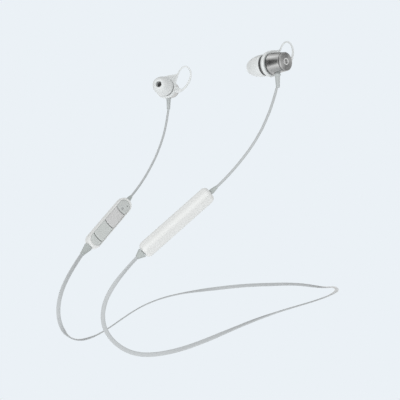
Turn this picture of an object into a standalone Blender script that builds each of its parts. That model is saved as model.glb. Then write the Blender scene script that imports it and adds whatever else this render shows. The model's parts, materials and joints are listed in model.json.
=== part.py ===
"""Neckband earphones: two metal earbuds, a remote and a battery box on one flat neck cord.

Metres, +Z up. The wearer faces -Y, so +X is the wearer's left. The origin is the middle of
the neck cord, where it rests on the nape. Every bud and every module has an empty that
holds its frame, and its pieces are children of it.
"""

import math

import bmesh
import bpy
import numpy as np
from mathutils import Matrix, Vector

MM = 0.001
GAP = 0.3 * MM  # clearance between pieces that touch
SEAM = GAP / 2

# Driving dimensions.
NECK_CORD_WIDTH = 2.4 * MM
LEAD_DIAMETER = 1.5 * MM
CUP_SMALL_RADIUS = 5.3 * MM
CUP_LARGE_RADIUS = 6.2 * MM
SLEEVE_RADIUS = 7.35 * MM
BARREL_RADIUS = 5.25 * MM
TIP_RADIUS = 6.25 * MM
NOZZLE_RADIUS = 2.5 * MM
NOZZLE_BORE = 1.9 * MM
FIN_STRAND = 0.65 * MM  # radius of the fin's loop
RELIEF_STATION = 6.8 * MM  # along the bud, from its end cap
RELIEF_REACH = 14.0 * MM  # from the bud's axis to the relief's tip
CASE_LENGTH = 50.2 * MM
CASE_WIDTH = 10.0 * MM
CASE_THICKNESS = 6.6 * MM
REMOTE_LENGTH = 44.0 * MM
REMOTE_WIDTH = 10.0 * MM
REMOTE_THICKNESS = 6.6 * MM
PANEL_WIDTH = 8.0 * MM
PANEL_BOW = 0.8 * MM  # of the gap between two panels, towards the neck
FLAP_LENGTH = 11.4 * MM
FLAP_HEIGHT = 3.3 * MM
WALL = 0.9 * MM
STEM_LENGTH = 2.0 * MM  # of a module's strain relief, through the end wall

# Routes and frames, in millimetres. Half of the neck cord, from the nape to the left side.
NECK_HALF = [
    (0, 0, 0), (20, -4.5, 1), (38, -13.8, 0.5), (52, -25, -0.5), (62.8, -38.8, -2.3),
    (70.6, -54.6, -4.5), (74.6, -72, -7.5), (73.5, -90, -12.4), (68, -107.4, -19.4),
    (60.2, -123.8, -26.6), (52.4, -139, -31), (45.5, -151.8, -30.8), (39.8, -161, -25),
    (36, -165.8, -15.8), (35.4, -165.4, -4.8), (37.6, -159.6, 7.6),
]
BATTERY_ENDS = [(42.2, -148.8, 21.5), (57.3, -107.0, 60.7)]  # neck gland, lead gland
REMOTE_ENDS = [(-42.4, -148.4, 21.8), (-56.6, -108.9, 58.7)]
LEFT_LEAD = [
    (57.3, -107.0, 60.7), (58.5, -103.8, 64.0), (59.6, -100.7, 67.4), (60.7, -97.7, 70.9),
    (61.9, -94.9, 74.5), (63.05, -92.21, 78.2), (64.2, -89.63, 82.0), (65.23, -87.25, 85.89),
    (66.31, -85.09, 89.99), (67.3, -83.12, 94.09), (68.15, -81.36, 98.38), (69.01, -79.71, 102.78),
    (69.79, -78.34, 107.27), (70.49, -77.07, 111.97), (71.04, -75.99, 116.37),
]
RIGHT_LEAD = [
    (-56.6, -108.9, 58.7), (-57.8, -105.5, 62.1), (-59.0, -102.2, 65.6), (-60.2, -99.1, 69.2),
    (-61.3, -96.1, 73.0), (-62.4, -93.3, 76.9), (-63.4, -90.6, 80.9), (-64.4, -88.0, 85.0),
    (-65.28, -85.72, 89.3), (-66.14, -83.56, 93.6), (-66.87, -81.63, 98.11), (-67.47, -79.93, 102.81),
    (-68.01, -78.59, 107.62), (-68.43, -77.46, 112.52), (-68.79, -76.5, 117.33),
]
BATTERY_FACE = (0.81, 0.21, -0.54)  # the way each module's broad face looks
REMOTE_FACE = (0.967, 0.161, 0.20)
LEFT_BUD = {"point": (70.443, -75.288, 130.67), "axis": (-0.957, -0.288, -0.03), "rear": -1}
RIGHT_BUD = {"point": (-69.09, -76.1, 131.73), "axis": (0.71, -0.70, 0.03), "rear": 1}

# The remote's panels along its axis, from the neck end to the lead end, in millimetres.
PANELS = {
    "volume_down_button": (-20.0, -14.2),
    "centre_button": (-13.8, -1.6),
    "volume_up_button": (-1.2, 11.4),
    "remote_end_panel": (11.8, 20.0),
}

FINISHES = {
    "white_gloss": ((0.84, 0.85, 0.85), 0.22, 0.0),
    "panel_grey": ((0.62, 0.65, 0.64), 0.4, 0.0),
    "soft_grey": ((0.42, 0.45, 0.46), 0.6, 0.0),
    "cord_grey": ((0.55, 0.57, 0.59), 0.5, 0.0),
    "silicone_clear": ((0.83, 0.85, 0.85), 0.45, 0.0),
    "brushed_metal": ((0.58, 0.58, 0.56), 0.28, 1.0),
    "dark_trim": ((0.07, 0.07, 0.075), 0.45, 0.0),
    "steel_mesh": ((0.12, 0.12, 0.12), 0.4, 1.0),
    "magnet": ((0.35, 0.35, 0.36), 0.35, 1.0),
    "circuit_board": ((0.03, 0.16, 0.09), 0.5, 0.0),
    "component_black": ((0.04, 0.04, 0.04), 0.5, 0.0),
    "shield_tin": ((0.6, 0.61, 0.62), 0.35, 1.0),
    "cell_foil": ((0.55, 0.57, 0.6), 0.4, 0.6),
    "light_guide": ((0.9, 0.92, 0.95), 0.2, 0.0),
}

for leftover in list(bpy.data.objects):
    bpy.data.objects.remove(leftover, do_unlink=True)

parts = bpy.data.collections.new("neckband_earphones")
cutters = bpy.data.collections.new("cutters")
for group in (parts, cutters):
    bpy.context.scene.collection.children.link(group)


# ---------------------------------------------------------------- materials and objects


def finish(name):
    """The material of that name, made the first time it is asked for."""
    if name in bpy.data.materials:
        return bpy.data.materials[name]
    colour, roughness, metallic = FINISHES[name]
    material = bpy.data.materials.new(name)
    material.use_nodes = True
    shader = material.node_tree.nodes["Principled BSDF"]
    shader.inputs["Base Color"].default_value = (*colour, 1.0)
    shader.inputs["Roughness"].default_value = roughness
    shader.inputs["Metallic"].default_value = metallic
    return material


def own_finish(obj, name):
    """Give the object a material of its own, copied from the shared finish."""
    material = finish(name).copy()
    material.name = obj.name + "_finish"
    obj.data.materials.clear()
    obj.data.materials.append(material)


def link(name, data, parent, finish_name, at=(0, 0, 0)):
    """Add a part to the collection, as a child of its frame."""
    obj = bpy.data.objects.new(name, data)
    parts.objects.link(obj)
    obj.parent = parent
    obj.location = at
    own_finish(obj, finish_name)
    return obj


def frame(name, origin, x_axis, z_axis):
    """An empty at origin whose X runs along x_axis and whose Z is as near z_axis as it can be."""
    x_axis = Vector(x_axis).normalized()
    y_axis = Vector(z_axis).cross(x_axis).normalized()
    z_axis = x_axis.cross(y_axis)
    empty = bpy.data.objects.new(name, None)
    empty.empty_display_size = 5 * MM
    parts.objects.link(empty)
    rotation = Matrix((x_axis, y_axis, z_axis)).transposed().to_4x4()
    empty.matrix_world = Matrix.Translation(origin) @ rotation
    return empty


def cutter(name, mesh, parent):
    obj = bpy.data.objects.new(name, mesh)
    cutters.objects.link(obj)
    obj.parent = parent
    obj.hide_render = True
    obj.display_type = "WIRE"
    return obj


def boolean(obj, other, operation="DIFFERENCE"):
    modifier = obj.modifiers.new(other.name, "BOOLEAN")
    modifier.operation = operation
    modifier.object = other


def smooth(mesh, angle=35):
    mesh.shade_smooth()
    mesh.set_sharp_from_angle(angle=math.radians(angle))


# ---------------------------------------------------------------- meshes


def box_mesh(low, high, bevel=0.0):
    """A box between two corners, with its edges rounded."""
    low, high = Vector(low), Vector(high)
    shape = bmesh.new()
    bmesh.ops.create_cube(shape, size=1.0)
    bmesh.ops.scale(shape, vec=high - low, verts=shape.verts)
    bmesh.ops.translate(shape, vec=(low + high) / 2, verts=shape.verts)
    if bevel:
        bmesh.ops.bevel(
            shape, geom=shape.edges[:], offset=bevel, segments=2, profile=0.5, affect="EDGES"
        )
    mesh = bpy.data.meshes.new("box")
    shape.to_mesh(mesh)
    shape.free()
    return mesh


def cylinder_mesh(radius, start, end, segments=16):
    """A cylinder from one point to another."""
    start, end = Vector(start), Vector(end)
    shape = bmesh.new()
    bmesh.ops.create_cone(
        shape, cap_ends=True, segments=segments, radius1=radius, radius2=radius,
        depth=(end - start).length,
    )
    turn = (end - start).to_track_quat("Z", "Y").to_matrix().to_4x4()
    bmesh.ops.transform(
        shape, matrix=Matrix.Translation((start + end) / 2) @ turn, verts=shape.verts
    )
    mesh = bpy.data.meshes.new("cylinder")
    shape.to_mesh(mesh)
    shape.free()
    return mesh


def profile_mesh(points, closed):
    """An outline of (radius, height) pairs in the XZ plane, in millimetres."""
    outline = bmesh.new()
    corners = [outline.verts.new((radius * MM, 0, height * MM)) for radius, height in points]
    for first, second in zip(corners, corners[1:]):
        outline.edges.new((first, second))
    if closed:
        outline.edges.new((corners[-1], corners[0]))
    mesh = bpy.data.meshes.new("profile")
    outline.to_mesh(mesh)
    outline.free()
    return mesh


def turned(name, points, parent, finish_name, closed=False, steps=28, at=(0, 0, 0)):
    """A part turned round its Z. A closed outline makes a ring, an open one ends on the axis."""
    obj = link(name, profile_mesh(points, closed), parent, finish_name, at)
    screw = obj.modifiers.new("turn", "SCREW")
    screw.axis = "Z"
    screw.angle = 2 * math.pi
    screw.steps = steps
    screw.render_steps = steps
    screw.use_merge_vertices = True
    screw.merge_threshold = 0.00002
    screw.use_smooth_shade = True
    return obj


def rounded_outline(length, width, radius_low, radius_high, arc=5):
    """A rectangle round the origin whose ends at -X and +X have corners of their own radius."""
    outline = []
    corners = [
        (1, 1, radius_high, 0), (-1, 1, radius_low, 90),
        (-1, -1, radius_low, 180), (1, -1, radius_high, 270),
    ]
    for side_x, side_y, radius, first in corners:
        centre_x = side_x * (length / 2 - radius)
        centre_y = side_y * (width / 2 - radius)
        for step in range(arc + 1):
            angle = math.radians(first + 90 * step / arc)
            outline.append((centre_x + radius * math.cos(angle), centre_y + radius * math.sin(angle)))
    unique = []
    for point in outline:
        if not unique or math.dist(point, unique[-1]) > 0.02 * MM:
            unique.append(point)
    if math.dist(unique[0], unique[-1]) < 0.02 * MM:
        unique.pop()
    return unique


def plate_mesh(outline, bottom, top, rim=0.0, shift_x=0.0, segments=3):
    """A flat outline given a thickness, with a round along its top rim."""
    curve = bpy.data.curves.new("outline", "CURVE")
    curve.dimensions = "2D"
    curve.fill_mode = "BOTH"
    curve.extrude = (top - bottom) / 2
    spline = curve.splines.new("POLY")
    spline.points.add(len(outline) - 1)
    for point, (x, y) in zip(spline.points, outline):
        point.co = (x + shift_x, y, 0, 1)
    spline.use_cyclic_u = True
    guide = bpy.data.objects.new("outline", curve)
    cutters.objects.link(guide)
    bpy.context.view_layer.update()
    solid = bpy.data.meshes.new_from_object(
        guide.evaluated_get(bpy.context.evaluated_depsgraph_get())
    )
    bpy.data.objects.remove(guide, do_unlink=True)
    shape = bmesh.new()
    shape.from_mesh(solid)
    bmesh.ops.remove_doubles(shape, verts=shape.verts, dist=0.00001)
    bmesh.ops.translate(shape, vec=(0, 0, (top + bottom) / 2), verts=shape.verts)
    bmesh.ops.recalc_face_normals(shape, faces=shape.faces)
    if rim:
        edges = [
            edge for edge in shape.edges
            if all(abs(vert.co.z - top) < 0.00001 for vert in edge.verts) and edge.calc_face_angle(0) > 1
        ]
        bmesh.ops.bevel(
            shape, geom=edges, offset=rim, segments=segments, profile=0.5, affect="EDGES"
        )
    shape.to_mesh(solid)
    shape.free()
    smooth(solid)
    return solid


def flipped(mesh):
    """Turn a mesh over, about X."""
    mesh.transform(Matrix.Rotation(math.pi, 4, "X"))
    return mesh


# ---------------------------------------------------------------- smooth routes


def smooth_route(points, spacing):
    """Points a fixed distance apart on the natural cubic spline through the route, in metres."""
    route = np.array(points, float) * MM
    chords = np.linalg.norm(np.diff(route, axis=0), axis=1)
    knots = np.concatenate([[0], np.cumsum(chords)])
    slopes = np.diff(route, axis=0) / chords[:, None]
    system = np.eye(len(route))
    bends = np.zeros_like(route)
    for knot in range(1, len(route) - 1):
        before, after = chords[knot - 1], chords[knot]
        system[knot, knot - 1 : knot + 2] = before, 2 * (before + after), after
        bends[knot] = 6 * (slopes[knot] - slopes[knot - 1])
    bends = np.linalg.solve(system, bends)
    dense = np.linspace(0, knots[-1], 16 * len(route))
    span = np.clip(np.searchsorted(knots, dense, side="right") - 1, 0, len(chords) - 1)
    width = chords[span][:, None]
    ahead = (dense - knots[span])[:, None] / width
    behind = 1 - ahead
    curve = (
        behind * route[span] + ahead * route[span + 1]
        + ((behind**3 - behind) * bends[span] + (ahead**3 - ahead) * bends[span + 1]) * width**2 / 6
    )
    along = np.concatenate([[0], np.cumsum(np.linalg.norm(np.diff(curve, axis=0), axis=1))])
    count = max(2, round(along[-1] / spacing)) + 1
    stations = np.linspace(0, along[-1], count)
    return np.stack([np.interp(stations, along, curve[:, axis]) for axis in range(3)], axis=1)


def cord(name, points, diameter, spacing):
    """A plain round tube along a route, stopping a gap short of the glands at its ends."""
    route = smooth_route(points, spacing)
    for end, inner in ((0, 1), (-1, -2)):
        inward = route[inner] - route[end]
        route[end] += inward / np.linalg.norm(inward) * GAP
    curve = bpy.data.curves.new(name, "CURVE")
    curve.dimensions = "3D"
    curve.bevel_depth = diameter / 2
    curve.bevel_resolution = 2
    curve.use_fill_caps = True
    spline = curve.splines.new("POLY")
    spline.points.add(len(route) - 1)
    for point, place in zip(spline.points, route):
        point.co = (*place, 1)
    return link(name, curve, None, "cord_grey")


# ---------------------------------------------------------------- earbuds


def bud_frame(side, bud):
    """The bud's frame: origin at the middle of its end cap, Z to the ear, X down the relief."""
    axis = Vector(bud["axis"]).normalized()
    down = Vector((0, 0, -1))
    down = (down - down.dot(axis) * axis).normalized()
    origin = Vector(bud["point"]) * MM - RELIEF_STATION * axis
    return frame(side + "_bud_frame", origin, down, axis)


def fin(side, parent, rear):
    """The silicone sleeve round the barrel and the loop that braces it in the ear."""
    sleeve = [
        (6.2, 14.05), (6.9, 13.3), (7.35, 12.6), (7.35, 11.8), (6.8, 11.2), (5.55, 11.2), (5.55, 14.05),
    ]
    obj = turned(side + "_ear_fin", sleeve, parent, "silicone_clear", closed=True, steps=32)
    # (towards the back of the head, up, along the bud) in millimetres
    loop = [
        (5.9, 3.2, 12.6), (7.0, 5.2, 12.5), (8.0, 8.2, 12.0), (9.2, 11.2, 11.3), (10.9, 13.4, 10.6),
        (13.0, 14.0, 9.9), (15.0, 12.6, 9.4), (16.2, 9.8, 9.1), (16.0, 6.7, 9.1), (14.9, 3.5, 9.5),
        (13.2, 0.4, 10.3), (11.0, -1.9, 11.2), (8.6, -2.9, 12.2), (6.6, -2.4, 12.6),
    ]
    curve = bpy.data.curves.new(side + "_fin_loop", "CURVE")
    curve.dimensions = "3D"
    curve.bevel_depth = FIN_STRAND
    curve.bevel_resolution = 2
    curve.use_fill_caps = True
    places = smooth_route([(-up, rear * back, along) for back, up, along in loop], 1.9 * MM)
    spline = curve.splines.new("POLY")
    spline.points.add(len(places) - 1)
    for point, place in zip(spline.points, places):
        point.co = (*place, 1)
    guide = bpy.data.objects.new(side + "_fin_loop", curve)
    cutters.objects.link(guide)
    bpy.context.view_layer.update()
    tube = bpy.data.meshes.new_from_object(
        guide.evaluated_get(bpy.context.evaluated_depsgraph_get())
    )
    bpy.data.objects.remove(guide, do_unlink=True)
    shape = bmesh.new()
    shape.from_mesh(tube)
    bmesh.ops.remove_doubles(shape, verts=shape.verts, dist=0.00001)
    shape.to_mesh(tube)
    shape.free()
    boolean(obj, cutter(side + "_fin_strand", tube, parent), "UNION")


def bud(side, bud_data):
    """Every piece of one earbud. Heights run from the end cap to the ear, in millimetres."""
    parent = bud_frame(side, bud_data)
    cap_radius = CUP_SMALL_RADIUS / MM
    barrel = BARREL_RADIUS / MM
    gap = GAP / MM

    cap = [(0, 1.2), (cap_radius, 1.2), (cap_radius, 0.35), (cap_radius - 0.35, 0), (0, 0)]
    turned(side + "_end_cap", cap, parent, "brushed_metal", steps=32)
    turned(side + "_magnet", [(0, 3.0), (3.6, 3.0), (3.6, 1.5), (0, 1.5)], parent, "magnet", steps=24)

    rim = CUP_LARGE_RADIUS / MM
    cup = [(rim - 0.2, 10.0), (rim, 9.8), (cap_radius + 0.05, 1.5), (cap_radius - 0.55, 1.5), (rim - 0.65, 10.0)]
    shell = turned(side + "_metal_cup", cup, parent, "brushed_metal", closed=True, steps=32)
    station = RELIEF_STATION
    hole = cylinder_mesh(1.7 * MM, (4 * MM, 0, station), (8 * MM, 0, station))
    boolean(shell, cutter(side + "_cup_hole", hole, parent))

    nozzle = NOZZLE_RADIUS / MM
    bore = NOZZLE_BORE / MM
    housing = [
        (nozzle, 24.0), (nozzle + 0.4, 23.4), (nozzle + 0.4, 22.9), (nozzle, 22.4), (nozzle, 17.4),
        (3.4, 16.6), (5.0, 15.6), (barrel, 15.3), (barrel, 10.9), (rim - 0.1, 10.9), (rim - 0.1, 10.3),
        (5.1, 10.3), (5.1, 8.9), (4.6, 8.9), (4.6, 14.6), (bore, 17.2), (bore, 24.0),
    ]
    turned(side + "_front_housing", housing, parent, "white_gloss", closed=True, steps=32)
    driver = [(0, 14.3), (3.2, 14.0), (4.3, 13.2), (4.3, 10.6), (3.4, 10.2), (0, 10.2)]
    turned(side + "_driver", driver, parent, "component_black", steps=24)
    mesh_disc = [(0, 23.6), (bore - gap, 23.6), (bore - gap, 23.3), (0, 23.3)]
    turned(side + "_nozzle_mesh", mesh_disc, parent, "steel_mesh", steps=20)
    trim = [(6.1, 15.5), (6.1, 14.35), (barrel + gap, 14.35), (barrel + gap, 15.5)]
    turned(side + "_trim_ring", trim, parent, "dark_trim", closed=True, steps=32)

    tip = TIP_RADIUS / MM
    ear_tip = [
        (2.6, 27.6), (3.3, 27.4), (4.3, 26.4), (5.25, 24.3), (5.95, 21.5), (tip, 18.6), (tip - 0.05, 15.8),
        (tip - 0.6, 15.8), (tip - 0.55, 18.5), (5.2, 21.2), (4.7, 23.2), (4.1, 23.2), (4.0, 17.8),
        (3.2, 17.8), (3.2, 24.4), (bore, 25.2), (bore, 27.4),
    ]
    turned(side + "_ear_tip", ear_tip, parent, "silicone_clear", closed=True, steps=28)
    fin(side, parent, bud_data["rear"])

    reach = RELIEF_REACH / MM
    relief = [
        (0, reach), (0.9, reach), (1.1, reach - 0.4), (1.4, 8.2), (1.4, 4.4), (2.2, 4.2), (2.2, 3.4), (0, 3.4),
    ]
    strain = turned(side + "_bud_relief", relief, parent, "soft_grey", steps=16, at=(0, 0, RELIEF_STATION))
    strain.rotation_euler = (0, math.pi / 2, 0)
    return parent


# ---------------------------------------------------------------- modules


def module_frame(name, ends, face):
    """Origin at the neck gland's tip, X to the lead gland's tip, Z out of the broad face."""
    start, end = (Vector(point) * MM for point in ends)
    return frame(name, start, end - start, face), (end - start).length


def gland(name, parent, tip_x, base_x, tip_radius, base_radius, flatten=(1.0, 1.0)):
    """A tapered strain relief from its cord tip to the case, with a stem and a head inside."""
    way = 1 if base_x > tip_x else -1
    taper = abs(base_x - tip_x) / MM
    outline = [
        (0, 0), (tip_radius, 0), (tip_radius + 0.1, 0.5), (base_radius * 0.8, taper * 0.7),
        (base_radius, taper - 0.4), (base_radius - 0.15, taper), (1.2, taper),
        (1.2, taper + STEM_LENGTH / MM), (1.9, taper + STEM_LENGTH / MM),
        (1.9, taper + STEM_LENGTH / MM + 0.9), (0, taper + STEM_LENGTH / MM + 0.9),
    ]
    # Heights are measured down from the tip, so the outline runs from the top to the bottom.
    points = [(radius, -height) for radius, height in outline]
    obj = turned(name, points, parent, "soft_grey", steps=20, at=(tip_x, 0, 0))
    stretch = Matrix.Diagonal((flatten[1], flatten[0], 1, 1))
    # A quarter turn about Y lays the taper along X, towards the case.
    obj.rotation_euler = (0, -way * math.pi / 2, 0)
    screw_bake(obj, stretch)
    return obj


def screw_bake(obj, matrix):
    """Turn the profile into a mesh and stretch it, so that the object's scale stays 1."""
    bpy.context.view_layer.update()
    mesh = bpy.data.meshes.new_from_object(
        obj.evaluated_get(bpy.context.evaluated_depsgraph_get())
    )
    obj.modifiers.clear()
    mesh.transform(matrix)
    obj.data = mesh


def half_case(name, parent, outline, inner, x_mid, half, rim, upper, finish_name):
    """One half of a case: a tray with a rounded rim. The lower half is the same, turned over."""
    shell = plate_mesh(outline, SEAM, half, rim, x_mid)
    hollow = plate_mesh(inner, -SEAM, half - WALL, 0.0, x_mid)
    if not upper:
        shell, hollow = flipped(shell), flipped(hollow)
    obj = link(name, shell, parent, finish_name)
    boolean(obj, cutter(name + "_hollow", hollow, parent))
    return obj


def case_halves(names, parent, length, width, thickness, corner, rim, x_mid):
    """Both halves of a case, with a round hole for a gland's stem in each end wall."""
    outline = rounded_outline(length, width, corner, corner)
    inner_corner = max(corner - WALL, 0.5 * MM)
    inner = rounded_outline(length - 2 * WALL, width - 2 * WALL, inner_corner, inner_corner)
    upper, lower = (
        half_case(name, parent, outline, inner, x_mid, thickness / 2, rim, is_upper, "white_gloss")
        for name, is_upper in zip(names, (True, False))
    )
    stems = cylinder_mesh(
        1.5 * MM, (x_mid - length / 2 - WALL, 0, 0), (x_mid + length / 2 + WALL, 0, 0)
    )
    tunnel = cutter(names[0] + "_stem_hole", stems, parent)
    boolean(upper, tunnel)
    boolean(lower, tunnel)
    return upper, lower


def box(name, parent, low, high, finish_name, bevel=0.0, at=(0, 0, 0)):
    low = [value * MM for value in low]
    high = [value * MM for value in high]
    return link(name, box_mesh(low, high, bevel * MM), parent, finish_name, at)


def battery_box():
    """The battery box, with the cell, the board and the charging socket under its flap."""
    parent, reach = module_frame("battery_frame", BATTERY_ENDS, BATTERY_FACE)
    neck_taper = 4.4 * MM
    x_mid = neck_taper + CASE_LENGTH / 2
    lead_base = neck_taper + CASE_LENGTH + GAP
    upper, lower = case_halves(
        ("battery_case_front", "battery_case_back"), parent,
        CASE_LENGTH, CASE_WIDTH, CASE_THICKNESS, 2.6 * MM, 1.6 * MM, x_mid,
    )
    middle = x_mid / MM
    side_y = -CASE_WIDTH / 2 / MM
    flap_low = middle + 6.5
    flap_high = flap_low + FLAP_LENGTH / MM
    socket_x = (flap_low + flap_high) / 2
    flap_half = FLAP_HEIGHT / 2 / MM
    gap = GAP / MM
    opening = box_mesh(
        ((flap_low - gap) * MM, (side_y - 1) * MM, (-flap_half - gap) * MM),
        ((flap_high + gap) * MM, (side_y + 1.2) * MM, (flap_half + gap) * MM),
    )
    flap_opening = cutter("usb_flap_opening", opening, parent)
    boolean(upper, flap_opening)
    boolean(lower, flap_opening)
    box("battery_cell", parent, (middle - 18.5, -3.7, -1.7), (middle + 4.5, 3.7, 1.7), "cell_foil", 0.6)
    box("main_board", parent, (middle + 5.2, -3.7, -2.3), (middle + 19.5, 3.7, -1.7), "circuit_board")
    box("radio_module", parent, (middle + 6.0, 1.2, -1.4), (middle + 17.0, 3.6, 0.6), "shield_tin", 0.15)
    socket = box("usb_socket", parent, (socket_x - 3.75, side_y + 1.3, -1.35), (socket_x + 3.75, 0.8, 1.25),
                 "shield_tin", 0.3)
    mouth = box_mesh(
        ((socket_x - 3.35) * MM, (side_y - 1) * MM, -0.95 * MM), ((socket_x + 3.35) * MM, 0, 0.85 * MM)
    )
    boolean(socket, cutter("usb_mouth", mouth, parent))

    # The flap turns on the outer corner of its neck end, where its origin is.
    hinge = (flap_low * MM, side_y * MM, 0)
    length = FLAP_LENGTH / MM
    flap = box(
        "usb_cover", parent, (0, 0, -flap_half), (length, WALL / MM, flap_half), "white_gloss", 0.15, hinge
    )
    tongue = box_mesh(
        ((length / 2 - 2.4) * MM, 0.5 * MM, -0.6 * MM), ((length / 2 + 2.4) * MM, 1.9 * MM, 0.5 * MM)
    )
    boolean(flap, cutter("usb_cover_tongue", tongue, flap), "UNION")

    gland("battery_neck_relief", parent, 0, neck_taper - GAP, 1.35, 2.8, (1.25, 0.85))
    gland("battery_lead_relief", parent, reach, lead_base, 1.0, 1.5)
    return parent


def bowed(outline, low_end, high_end):
    """The outline of a panel, whose straight ends bulge towards the neck by the bow."""
    bent = []
    for index, (x, y) in enumerate(outline):
        next_x, next_y = outline[(index + 1) % len(outline)]
        crosses = abs(next_x - x) < 0.01 * MM and abs(next_y - y) > 1 * MM
        for step in range(8 if crosses else 1):
            across = y + (next_y - y) * step / 8
            bulges = low_end if x < 0 else high_end
            bow = PANEL_BOW * (1 - (2 * across / PANEL_WIDTH) ** 2) if bulges else 0
            bent.append((x - bow, across))
    return bent


def remote():
    """The remote: three buttons and an end panel in one window, over their switches."""
    parent, reach = module_frame("remote_frame", REMOTE_ENDS, REMOTE_FACE)
    lead_taper = 4.6 * MM
    x_mid = reach - lead_taper - REMOTE_LENGTH / 2
    half = REMOTE_THICKNESS / 2
    cover, _ = case_halves(
        ("remote_cover", "remote_base"), parent,
        REMOTE_LENGTH, REMOTE_WIDTH, REMOTE_THICKNESS, REMOTE_WIDTH / 2 - 0.1 * MM, 1.1 * MM, x_mid,
    )
    first = PANELS["volume_down_button"][0]
    last = PANELS["remote_end_panel"][1]
    window_width = PANEL_WIDTH + 2 * GAP
    window = plate_mesh(
        rounded_outline((last - first) * MM + 2 * GAP, window_width, window_width / 2, window_width / 2),
        half - 2 * WALL, half + WALL, 0.0, x_mid,
    )
    boolean(cover, cutter("remote_window", window, parent))

    round_end = PANEL_WIDTH / 2
    square_end = 0.3 * MM
    plate_top = half - 0.1 * MM
    plate_bottom = plate_top - 1.0 * MM
    plunger_foot = 0.95 * MM
    for name, (low, high) in PANELS.items():
        low_radius = round_end if low == first else square_end
        high_radius = round_end if high == last else square_end
        outline = rounded_outline((high - low) * MM, PANEL_WIDTH, low_radius, high_radius)
        outline = bowed(outline, low > first, high < last)
        centre = x_mid + (low + high) / 2 * MM
        plate = plate_mesh(outline, plate_bottom, plate_top, 0.25 * MM, 0.0, 2)
        obj = link(name, plate, parent, "panel_grey", (centre, 0, 0))
        if name.endswith("button"):
            stem = cylinder_mesh(1.2 * MM, (0, 0, plunger_foot), (0, 0, plate_bottom + 0.3 * MM), 12)
            boolean(obj, cutter(name + "_plunger", stem, obj), "UNION")
            switch = name.replace("button", "switch")
            x = centre / MM
            box(switch, parent, (x - 1.6, -1.6, -0.3), (x + 1.6, 1.6, 0.55), "component_black", 0.2)
    panel = bpy.data.objects["remote_end_panel"]
    hole_x = 1.4 * MM
    hole = cylinder_mesh(0.45 * MM, (hole_x, -1.6 * MM, 0), (hole_x, -1.6 * MM, half + WALL), 12)
    boolean(panel, cutter("microphone_hole", hole, panel))
    lens_x = -2.6 * MM
    lens_seat = cylinder_mesh(0.85 * MM, (lens_x, 0, 0), (lens_x, 0, half + WALL), 12)
    boolean(panel, cutter("led_seat", lens_seat, panel))
    panel_x = (x_mid / MM) + sum(PANELS["remote_end_panel"]) / 2
    led = cylinder_mesh(0.55 * MM, (0, 0, 0.6 * MM), (0, 0, plate_top - 0.05 * MM), 12)
    link("status_led", led, parent, "light_guide", ((panel_x * MM) + lens_x, 0, 0))
    box("microphone", parent, (panel_x + 0.2, -2.9, -0.3), (panel_x + 3.2, -0.6, 0.8), "shield_tin", 0.2)

    middle = x_mid / MM
    box("remote_board", parent, (middle - 19, -3.6, -1.4), (middle + 18, 3.6, -0.6), "circuit_board")
    gland("remote_neck_relief", parent, 0, x_mid - REMOTE_LENGTH / 2 - GAP, 1.35, 2.9, (1.2, 0.85))
    gland("remote_lead_relief", parent, reach, x_mid + REMOTE_LENGTH / 2 + GAP, 1.0, 1.7)
    return parent


# ---------------------------------------------------------------- assembly


def neck_route():
    """The remote's gland, the right half from its low end to the nape, then the left half."""
    right = [(-x, y, z) for x, y, z in reversed(NECK_HALF[1:])]
    return [REMOTE_ENDS[0], *right, *NECK_HALF, BATTERY_ENDS[0]]


bud("left", LEFT_BUD)
bud("right", RIGHT_BUD)
battery_box()
remote()
cord("neck_cord", neck_route(), NECK_CORD_WIDTH, 7.2 * MM)
cord("left_lead", LEFT_LEAD, LEAD_DIAMETER, 4.4 * MM)
cord("right_lead", RIGHT_LEAD, LEAD_DIAMETER, 4.4 * MM)
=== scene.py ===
"""The looks of the neckband earphones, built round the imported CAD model.

Metres, in the CAD model's frame: +Z up, the wearer faces -Y, and +X is their left, the side of
the battery box. Each bud and each module has its own frame, worked out from the record. In a
bud's frame the origin is the middle of the end cap, Z runs to the ear and X down the relief.
In a module's frame X runs from the neck gland to the lead gland and Z out of the broad face.
Turned outlines are in mm, as (radius, height) and, at a rounded corner, the rounding's radius.
"""

import json
import math

import bmesh
import bpy
import numpy as np
from mathutils import Matrix, Vector


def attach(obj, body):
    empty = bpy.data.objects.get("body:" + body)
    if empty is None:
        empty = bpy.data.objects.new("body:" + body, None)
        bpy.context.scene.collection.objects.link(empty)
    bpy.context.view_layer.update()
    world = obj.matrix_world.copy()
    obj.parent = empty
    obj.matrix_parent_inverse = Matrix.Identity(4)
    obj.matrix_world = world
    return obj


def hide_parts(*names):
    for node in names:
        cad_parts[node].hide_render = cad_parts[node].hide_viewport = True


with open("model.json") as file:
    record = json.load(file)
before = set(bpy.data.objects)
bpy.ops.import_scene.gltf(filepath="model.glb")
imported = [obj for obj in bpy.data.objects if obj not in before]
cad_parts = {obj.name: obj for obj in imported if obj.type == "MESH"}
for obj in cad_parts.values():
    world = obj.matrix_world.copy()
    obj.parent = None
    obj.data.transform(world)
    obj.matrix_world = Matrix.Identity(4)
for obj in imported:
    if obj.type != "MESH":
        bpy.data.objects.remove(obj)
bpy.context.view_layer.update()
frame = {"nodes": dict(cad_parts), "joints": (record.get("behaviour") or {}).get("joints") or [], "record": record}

MM = 0.001
MICRON = 0.000001

# ------------------------ routes of the cords

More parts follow.
